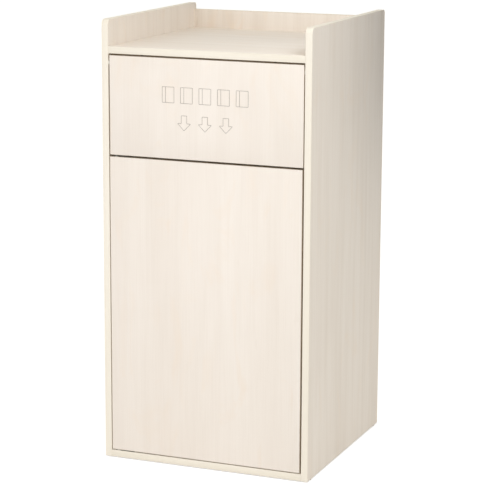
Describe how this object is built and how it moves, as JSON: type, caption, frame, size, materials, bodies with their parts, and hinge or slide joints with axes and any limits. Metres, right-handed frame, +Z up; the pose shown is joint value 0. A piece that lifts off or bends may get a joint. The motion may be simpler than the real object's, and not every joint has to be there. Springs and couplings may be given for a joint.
{
  "type": "drop box cabinet",
  "caption": "Free-standing laminate drop box cabinet with a tray top, an inset push-in flap, a tall pivoted service door and a loose bin inside.",
  "frame": {"origin": "on the floor, at the centre of the footprint", "axes": "+X to the right as seen from the front, +Y from the front to the back, +Z up"},
  "size_m": [0.6, 0.593, 1.219],
  "materials": {
    "laminate": "satin bleached wood-grain melamine",
    "edge_band": "satin cream edge banding",
    "beech": "plain planed beech",
    "steel": "zinc plated",
    "black_steel": "blackened steel",
    "nylon": "natural nylon",
    "glide_plastic": "moulded brown plastic",
    "rubber": "matt",
    "magnet": "ground ferrite",
    "bin_plastic": "moulded grey polyethylene"
  },
  "bodies": {
    "cabinet": {"left_side_panel": "laminate", "right_side_panel": "laminate", "back_panel": "laminate", "tray_board": "laminate", "bottom_board": "laminate", "catch_rail": "laminate", "left_edge_band": "edge_band", "right_edge_band": "edge_band", "back_edge_band": "edge_band", "tray_edge_band": "edge_band", "bottom_edge_band": "edge_band", "carcass_dowels": "beech", "back_dowels": "beech", "back_screws": "steel", "flap_stop_cleat": "beech", "cleat_screws": "steel", "flap_bumpers": "rubber", "flap_bushes": "nylon", "floor_pivot_plate": "black_steel", "top_pivot_plate": "black_steel", "door_pivot_pins": "black_steel", "pivot_plate_screws": "black_steel", "catch_housing": "nylon", "catch_magnet": "magnet", "catch_pole_plates": "steel", "catch_screws": "steel", "bin": "bin_plastic", "bin_guides": "beech", "guide_screws": "steel", "floor_glides": "glide_plastic", "glide_nails": "steel"},
    "flap": {"flap": "laminate", "flap_edge_band": "edge_band", "flap_pivot_pins": "steel"},
    "door": {"door": "laminate", "door_edge_band": "edge_band", "door_bushes": "nylon", "strike_plate": "steel", "strike_screws": "steel"}
  },
  "joints": [
    {"name": "flap_swing", "type": "hinge", "parent": "cabinet", "child": "flap", "pos_m": [0, -0.287, 1.10356], "axis": [1, 0, 0], "range_deg": [0, 90]},
    {"name": "door_swing", "type": "hinge", "parent": "cabinet", "child": "door", "pos_m": [-0.26103, -0.2885, 0.437], "axis": [0, 0, -1], "range_deg": [0, 110]}
  ]
}
